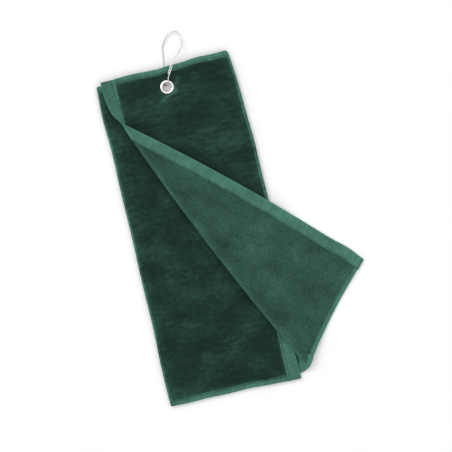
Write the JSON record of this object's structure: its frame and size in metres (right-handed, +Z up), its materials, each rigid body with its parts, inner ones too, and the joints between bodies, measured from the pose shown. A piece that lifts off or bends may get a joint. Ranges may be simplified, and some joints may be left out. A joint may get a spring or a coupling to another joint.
{
  "type": "golf towel",
  "caption": "Tri-fold terry velour golf towel lying flat with a corner of its front leaf turned back, a grommet and a latching pear-shaped wire hook.",
  "frame": {"origin": "middle of the folded towel, on its underside, where it lies on a surface", "axes": "+X to the right across the towel, +Y along the towel towards its grommet end, +Z up, away from the surface it lies on"},
  "size_m": [0.2535, 0.4191, 0.0105],
  "materials": {
    "velour": "matte",
    "terry": "matte",
    "hem": "matte",
    "thread": "satin",
    "grommet_metal": "polished",
    "hook_metal": "polished"
  },
  "bodies": {
    "towel": {"back_panel": "velour", "inner_leaf": "velour", "front_leaf": "velour", "left_fold": "velour", "right_fold": "velour", "back_bottom_hem": "hem", "back_top_hem": "hem", "inner_bottom_hem": "hem", "inner_top_hem": "hem", "inner_side_hem": "hem", "front_top_hem": "hem", "front_side_hem": "hem", "back_bottom_thread": "thread", "back_top_thread": "thread", "inner_bottom_thread": "thread", "inner_top_thread": "thread", "inner_side_thread": "thread", "front_top_thread": "thread", "front_side_thread": "thread", "grommet_eyelet": "grommet_metal", "grommet_washer": "grommet_metal"},
    "flap": {"turned_flap": "terry", "flap_side_hem": "hem", "flap_end_hem": "hem", "flap_side_thread": "thread", "flap_end_thread": "thread"},
    "hook": {"hook_wire": "hook_metal"},
    "gate": {"hook_gate": "hook_metal"}
  },
  "joints": [
    {"name": "flap_turn", "type": "hinge", "parent": "towel", "child": "flap", "pos_m": [0.01065, -0.01775, 0.00795], "axis": [0.4117, -0.9113, 0], "range_deg": [0, 180]},
    {"name": "hook_swing", "type": "hinge", "parent": "towel", "child": "hook", "pos_m": [0.0012, 0.1674, 0.005], "axis": [0, 0, 1], "range_deg": [-20, 60]},
    {"name": "gate_open", "type": "hinge", "parent": "hook", "child": "gate", "pos_m": [0.023, 0.2275, 0.004], "axis": [0, 0, -1], "range_deg": [0, 20], "stiffness_Nm_per_rad": 0.002}
  ]
}
